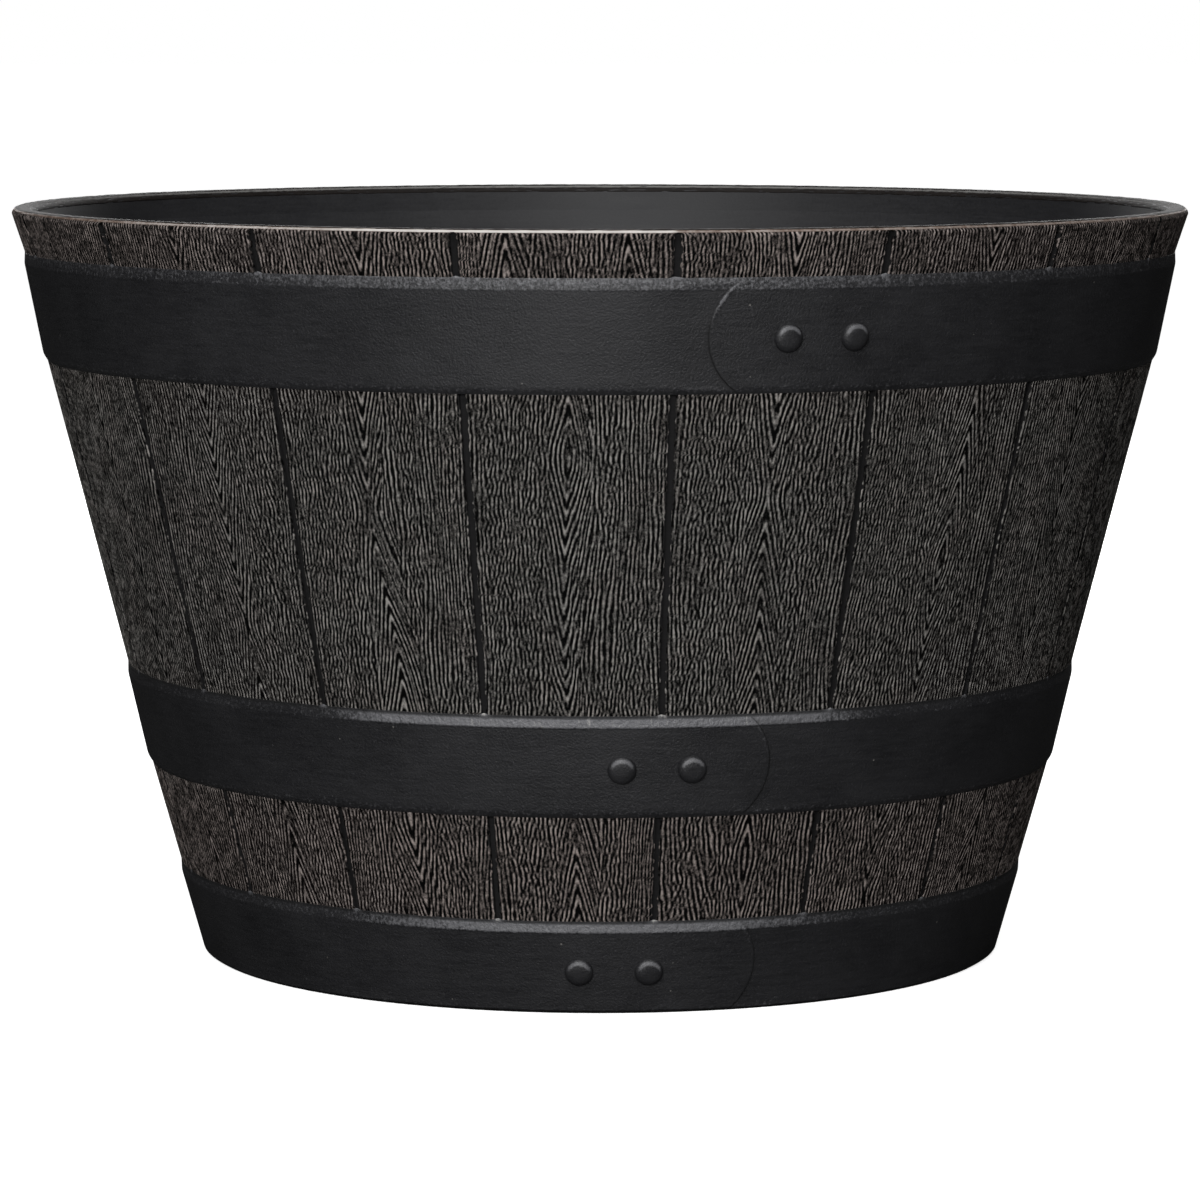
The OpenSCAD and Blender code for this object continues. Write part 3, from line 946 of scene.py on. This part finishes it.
hoops = {
    "lower": {
        "low": 0.6,
        "width": 40.4,
        "chamfer": 1.0,
        "tip": 20.6,    # angle of the lap's tip
        "side": -1,    # the side of the tip that the lap lies on
        "toRivet": 45,    # from the tip to the first rivet
        # Wear and painted highlight of the ledge, strongest over the front: all round, over the front, the
        # front's two ends and how softly they end
        "rubAndHighlight": {"least": 0.18, "most": 0.88, "start": -25, "end": 23.5, "soft": 14},
        "fade": 0,    # how much less the ledge's lower half is rubbed
        # Painted highlight on the tip's arc where it faces up, and painted shade beside it
        "arcHighlight": 0.3,    # how light and how dark the tip's arc is
        "arcShade": 0.55,
    },
    "middle": {
        "low": 86.5,
        "width": 43.8,
        "chamfer": 2.8,
        "tip": 19.8,
        "side": -1,
        "toRivet": 33,
        "rubAndHighlight": {"least": 0.15, "most": 1.0, "start": -27.5, "end": 27, "soft": 8},
        "fade": 0,
        "arcHighlight": 0.45,
        "arcShade": 0.9,
    },
    "upper": {
        "low": 265.0,
        "width": 47.5,
        "chamfer": 2.8,
        "tip": 10.0,
        "side": 1,
        "toRivet": 33,
        "rubAndHighlight": {"least": 0.28, "most": 0.42, "start": -30, "end": 28, "soft": 8},
        "fade": 0.08,
        "arcHighlight": 1.0,
        "arcShade": 0.8,
    },
}
strap = {
    "thick": 1.6,
    "gap": 0.1,
    "edge": 0.4,    # thickness left at both edges
    "ramp": 5.0,    # height of the slope along the top
    "edgeCut": 0.14,    # how far each corner is cut
    "chamferCut": 0.4,    # as a share of the chamfer
    "rampCut": 0.8,
    "cornerRows": [3, 6, 5, 3],
    "tallestCell": 3.5,
    "tallestLedge": 0.6,
    "dip": 0.6,    # how far the strap dips in under its lapped end
    "dipLength": 26,
    "endRadius": 27,
    "reach": 48,    # how far from the tip the columns bend to its arc
    "closeColumns": 34,
    "tipColumns": [-0.22, -0.05, 0.04, 0.16, 0.34],
    "columns": 400,
    "beadColumns": [-2.4, -1.5, -0.8, 0, 0.8, 1.5, 2.4],
    "beadWide": 1.5,
    "beadOut": 0.25,
    "beadUp": 0.7,
    "tipRound": 0.1,    # how much lower the face is right at the tip
    # A paler lower chamfer, painted highlight on the tip's arc, paler beads, and how dark the painted shade
    # under the staves' ends is
    "chamferRub": 0.22,
    "arcHighlightShare": 0.62,
    "beadRub": 0.8,
    "endShade": 0.85,
    "textureTurns": 4,
    "rivetPitch": 29,
}


def cutCorner(before, corner, after, cut, count):
    # A quadratic curve that leaves the corner out, from cut before it to cut after it
    a, b, c = (np.array(p, float) for p in (before, corner, after))
    start, end = b + (a - b) / np.linalg.norm(a - b) * cut, b + (c - b) / np.linalg.norm(c - b) * cut
    t = np.linspace(0, 1, count)[:, None]
    return (1 - t) ** 2 * start + 2 * t * (1 - t) * b + t ** 2 * end


def strapOutline(low, top, chamfer):
    # Offset from the wall and height, round the strap's section
    corners = [(strap["gap"], low), (strap["edge"], low), (strap["thick"], low + chamfer),
               (strap["thick"], top - strap["ramp"]), (strap["edge"], top), (strap["gap"], top)]
    cuts = [strap["edgeCut"], strap["chamferCut"] * chamfer, strap["rampCut"], strap["edgeCut"]]
    around = zip(corners, corners[1:], corners[2:], cuts, strap["cornerRows"])
    line = np.vstack([corners[:1]] + [cutCorner(*corner) for corner in around] + [corners[-1:]])
    # Long stretches are filled in so that no cell is too tall, on the ledge least of all
    full = [line[:1]]
    for a, b in zip(line[:-1], line[1:]):
        tallest = strap["tallestLedge"] if a[1] > top - strap["ramp"] - 1 else strap["tallestCell"]
        cells = max(1, int(np.ceil(np.linalg.norm(b - a) / tallest)))
        full.append(a + (b - a) * np.linspace(0, 1, cells + 1)[1:, None])
    return np.vstack(full).T


def strapColumns(hoop, length):
    # Distance of each column from the tip: close ones near the lap, even ones beyond, and more at each joint
    reach = strap["reach"]
    joints = hoop["side"] * (wall["firstJoint"] + staveAngle * np.arange(wall["staves"]) - hoop["tip"]) % 360
    beads = ((joints / 360 * length)[:, None] + np.array(strap["beadColumns"])).ravel()
    beads = beads[(beads > reach + 0.3) & (beads < length - reach - 0.3)]
    far = np.sort(np.concatenate([np.linspace(reach, length - reach, strap["columns"]), beads]))
    close = [np.linspace(-reach, -0.6, strap["closeColumns"]), strap["tipColumns"],
             np.linspace(0.9, reach, strap["closeColumns"])[:-1]]
    return np.concatenate(close + [far[:-1]])[None, :]


def strapWear(name, hoop, base, z, degrees, offset, bead):
    # The paler mask, wear and painted highlight: the ledge on the ramp, strongest over the front, the
    # chamfer, the tip's arc where it faces up, and the beads.
    # The painted shade: the line beside the arc, darkest where it faces down, and the line under the staves'
    # ends.
    low, top, middle = hoop["low"], hoop["low"] + hoop["width"], hoop["low"] + hoop["width"] / 2
    rubAndHighlight = hoop["rubAndHighlight"]
    around = (degrees + 180) % 360 - 180
    front = ease((around - rubAndHighlight["start"]) / rubAndHighlight["soft"] / 2 + 0.5)
    front = front * ease((rubAndHighlight["end"] - around) / rubAndHighlight["soft"] / 2 + 0.5)
    ramp = ease((z - (top - strap["ramp"] - 0.6)) / 1.1) * (offset > strap["gap"])
    lower = ease((top - 1.8 - z) / 1.5)
    # The ledge is paler from wear, and from a painted highlight strongest over the front
    ledgeWearAndHighlight = ramp * (rubAndHighlight["least"] + (rubAndHighlight["most"] - rubAndHighlight["least"]) * front - hoop["fade"] * lower)
    chamfer = strap["chamferRub"] * np.exp(-((z - low - hoop["chamfer"] + 0.8) / 1.3) ** 2) * (offset > 0.6)
    # Painted highlight on the upper part of the tip's arc
    arcHighlightUp = ease((z - middle) / 14) * hoop["arcHighlight"]
    arc = strap["arcHighlightShare"] * np.exp(-((base - 0.7) / 1.0) ** 2) * (base > -0.1) * (offset > 1) * arcHighlightUp
    ledgeWearAndHighlight = np.maximum(np.maximum(ledgeWearAndHighlight, chamfer), arc) + strap["beadRub"] * bead
    wide = 0.32 + 0.25 * (1 - arcHighlightUp)
    # Painted shade beside the arc, darker where it faces down
    creviceShade = hoop["arcShade"] * np.exp(-((base + 0.1) / wide) ** 2) * (offset > 0.6) * (1 - 0.75 * arcHighlightUp)
    if name != "upper":
        # Painted shade under the staves' ends
        creviceShade = np.maximum(creviceShade, strap["endShade"] * ease((z - top + 1.4) / 0.4) * (1 - bead))
    return {"ledgeWearAndHighlight": ledgeWearAndHighlight, "creviceShade": creviceShade}


def makeHoop(name, hoop):
    # Radius = wall + outline; beside the tip the face dips in by dip x (1 - ease(distance / length)).
    # The columns next to the tip bend to its arc: x at the arc = R - sqrt(R^2 - (z - mid)^2).
    # Where a joint runs in behind the top edge, the edge swells into a small bead.
    side, top, middle = hoop["side"], hoop["low"] + hoop["width"], hoop["low"] + hoop["width"] / 2
    offset, z = strapOutline(hoop["low"], top, hoop["chamfer"])
    size = wallRadius(middle)
    length = 2 * np.pi * size
    base = strapColumns(hoop, length)
    end = strap["endRadius"]
    arc = (end - np.sqrt(np.maximum(end ** 2 - (z - middle) ** 2, 1)))[:, None]
    bent = 1 - ease(np.abs(np.where(base > length / 2, base - length, base)) / strap["reach"])
    x = base + arc * bent
    offset, z = offset[:, None] + 0 * x, z[:, None] + 0 * x
    dip = strap["dip"] * (1 - ease((-base - 2) / strap["dipLength"])) * (base < 0)
    tipRound = strap["tipRound"] * np.exp(-((base - 0.04) / 0.15) ** 2) * (base > 0)
    shaped = np.where(base < 0, np.minimum(offset, strap["thick"] - dip), offset - tipRound * (offset > 1))
    degrees = hoop["tip"] + side * np.degrees(x / size)
    fromBead = np.radians(fromJoint(degrees)) * size
    bead = np.exp(-(fromBead / strap["beadWide"]) ** 2) * ease((z - top + 1.6) / 1.2)
    bead = bead * (offset > strap["gap"])
    points = spin(wallRadius(z) + shaped + strap["beadOut"] * bead, degrees, z + strap["beadUp"] * bead)
    rows, columns = z.shape
    faces = gridFaces(rows, columns, closedAcross=True, closedAlong=True)
    uv = bandUv(rows, columns, strap["textureTurns"])
    if side < 0:
        faces, uv = faces[:, ::-1], uv[:, ::-1]
    masks = strapWear(name, hoop, base, z, degrees, offset, bead)
    piece = makePiece(f"{name}_strap", points, [faces], strapResin, masks, uv)
    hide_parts(f"{name}_hoop")
    return piece


for name, hoop in hoops.items():
    made = makeHoop(name, hoop)
print("straps made, the last of", len(made.data.polygons), "faces")


# Rivets

rivet = {
    "headRadius": 6.0,
    "headHeight": 2.8,
    "shankRadius": 2.5,
    "shank": 6.0,
    "around": 56,
    # Rub and painted highlight of the shoulder, most on its upper side: its radius and how wide it is
    "shoulderHighlight": 4.7,
    "shoulderWide": 0.8,
}


def rivetOutline():
    # Head: r = R sin(t)^0.6, h = H cos(t), then the flat under it, the shank and its end
    t = np.linspace(0, np.pi / 2, 22)[1:]
    head, shank, deep = rivet["headRadius"], rivet["shankRadius"], rivet["shank"]
    r = np.concatenate([head * np.sin(t) ** 0.6, [head - 0.1, shank + 0.5, shank, shank, shank - 0.3]])
    h = np.concatenate([rivet["headHeight"] * np.cos(t), [-0.05, -0.05, -0.3, 0.3 - deep, -deep]])
    return r, h


def rivetFaces(rows, around, first):
    # The cells between the rings, then the fans to the pole of the head and to that of the shank
    now = first + np.arange(around)
    after = first + (np.arange(around) + 1) % around
    pole, last = first + rows * around, (rows - 1) * around
    top = np.stack([np.full(around, pole), now, after], 1)
    end = np.stack([np.full(around, pole + 1), after + last, now + last], 1)
    return gridFaces(rows, around, first, closedAcross=True)[:, ::-1], np.concatenate([top, end])


def makeRivets(name, hoop):
    # Both rivets of a lap, square to the wall: place + h x outwards + r (cos a x sideways + sin a x upwards)
    r, h = rivetOutline()
    rows, around = len(r), rivet["around"]
    low, width = hoop["low"], hoop["width"]
    middle = low + (width + hoop["chamfer"] - strap["ramp"]) / 2    # of the strap's flat face
    size = wallRadius(middle)
    lean = math.atan2(wallRadius(low + width) - wallRadius(low), width)
    a = np.linspace(0, 2 * np.pi, around, endpoint=False)
    points, quads, fans, shoulderHighlight = [], [], [], []
    for k in range(2):
        along = hoop["toRivet"] + k * strap["rivetPitch"]
        angle = math.radians(hoop["tip"] + hoop["side"] * math.degrees(along / size))
        out = np.array([math.sin(angle) * math.cos(lean), -math.cos(angle) * math.cos(lean), -math.sin(lean)])
        sideways = np.array([math.cos(angle), math.sin(angle), 0])
        upwards = np.cross(out, sideways)
        place = spin(size + strap["thick"], math.degrees(angle), middle)
        turned = np.cos(a)[None, :, None] * sideways + np.sin(a)[None, :, None] * upwards
        body = place + h[:, None, None] * out + r[:, None, None] * turned
        cells, ends = rivetFaces(rows, around, sum(len(p) for p in points))
        points += [body.reshape(-1, 3), [place + rivet["headHeight"] * out, place - rivet["shank"] * out]]
        quads.append(cells)
        fans.append(ends)
        # Shoulder mask, most on the head's upper side: a painted highlight
        ring = np.exp(-((r - rivet["shoulderHighlight"]) / rivet["shoulderWide"]) ** 2)[:, None] * (h > 0.2)[:, None]
        shoulderHighlight += [(ring * (0.1 + 0.9 * ease(np.sin(a) * 1.2))[None, :]).ravel(), [0.0, 0.0]]
    faces = [np.concatenate(quads), np.concatenate(fans)]
    masks = {"shoulderHighlight": np.concatenate(shoulderHighlight)}
    piece = makePiece(f"{name}_rivet_pair", np.concatenate(points), faces, rivetResin, masks)
    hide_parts(f"{name}_hoop_rivets")


for name, hoop in hoops.items():
    makeRivets(name, hoop)
print("rivets made")


# Studio

studio = {
    "floorSize": 60.0,
    "floorGrey": 0.9,
    "glow": 0.85,    # the floor's own light as the camera sees it near the tub, so that it stays plain white
    "glowSpan": (0.5, 2.0),    # distances between which it rises to 1
    "bounce": 0.045,    # how much light the floor sends back
    "fill": 0.02,    # light from all round
    # Softboxes: place, width and height in metres, and power in watts; each faces the tub
    "softboxes": {
        "frontBox": ((-0.45, -2.9, 1.1), 1.5, 1.0, 58.0),
        "topBox": ((-0.1, -1.2, 2.2), 1.4, 1.2, 26.0),
        "tableCard": ((0.0, -1.3, 0.02), 0.8, 0.4, 3.3),
        "backBox": ((0.0, 2.6, 0.9), 0.7, 1.2, 10.0),
        "leftBackBox": ((-0.8, 2.5, 1.1), 0.9, 1.0, 15.0),
        "rightBackBox": ((0.8, 2.5, 1.1), 0.9, 1.0, 15.0),
    },
    "lookAt": (0.0, 0.0, 0.2),
    "cameraPlace": (0.0, -2.442, 0.4262),
    "cameraTilt": 0.1106,
    "lens": 164.34,
}


def makeFloor():
    half = studio["floorSize"] / 2
    mesh = bpy.data.meshes.new("floor")
    corners = [(-half, -half, 0), (half, -half, 0), (half, half, 0), (-half, half, 0)]
    mesh.from_pydata(corners, [], [(0, 1, 2, 3)])
    floor = addObject("floor", mesh)
    material = bpy.data.materials.new("paleFloor")
    material.use_nodes = True
    tree = material.node_tree
    tree.nodes.clear()
    seen = addNode(tree, "ShaderNodeLightPath").outputs["Is Camera Ray"]
    matt = addNode(tree, "ShaderNodeBsdfDiffuse", {"Color": (studio["floorGrey"],) * 3 + (1,)}).outputs[0]
    away = addNode(tree, "ShaderNodeVectorMath", {0: objectPlace(tree)}, operation="LENGTH").outputs["Value"]
    strength = remap(tree, away, *studio["glowSpan"], studio["glow"], 1.0)
    glow = addNode(tree, "ShaderNodeEmission", {"Strength": strength}).outputs[0]
    pale = addNode(tree, "ShaderNodeAddShader", {0: matt, 1: glow}).outputs[0]
    dim = addNode(tree, "ShaderNodeBsdfDiffuse", {"Color": (studio["bounce"],) * 3 + (1,)}).outputs[0]
    both = addNode(tree, "ShaderNodeMixShader", {0: seen, 1: dim, 2: pale}).outputs[0]
    addNode(tree, "ShaderNodeOutputMaterial", {0: both})
    mesh.materials.append(material)


def makeSoftbox(name, place, width, height, power):
    light = bpy.data.lights.new(name, "AREA")
    light.shape, light.size, light.size_y, light.energy = "RECTANGLE", width, height, power
    box = addObject(name, light)
    box.location = place
    box.rotation_euler = (Vector(studio["lookAt"]) - Vector(place)).to_track_quat("-Z", "Y").to_euler()
    box.visible_camera = False


def makeWorld():
    world = bpy.data.worlds.new("studio")
    world.use_nodes = True
    tree = world.node_tree
    tree.nodes.clear()
    seen = addNode(tree, "ShaderNodeLightPath").outputs["Is Camera Ray"]
    white = {"Color": (1, 1, 1, 1), "Strength": 1.0}
    dim = addNode(tree, "ShaderNodeBackground", {**white, "Strength": studio["fill"]}).outputs[0]
    bright = addNode(tree, "ShaderNodeBackground", white).outputs[0]
    both = addNode(tree, "ShaderNodeMixShader", {0: seen, 1: dim, 2: bright}).outputs[0]
    addNode(tree, "ShaderNodeOutputWorld", {0: both})
    bpy.context.scene.world = world


def makeCamera():
    lens = bpy.data.cameras.new("camera")
    lens.lens = studio["lens"]
    lens.sensor_width = 36.0
    lens.clip_start, lens.clip_end = 0.05, 200.0
    camera = addObject("camera", lens)
    camera.location = studio["cameraPlace"]
    camera.rotation_euler = (math.pi / 2 - studio["cameraTilt"], 0, 0)
    bpy.context.scene.camera = camera


makeFloor()
for name, facts in studio["softboxes"].items():
    makeSoftbox(name, *facts)
makeWorld()
makeCamera()
bpy.context.scene.view_settings.view_transform = "Standard"
print("studio made")

bpy.context.view_layer.update()
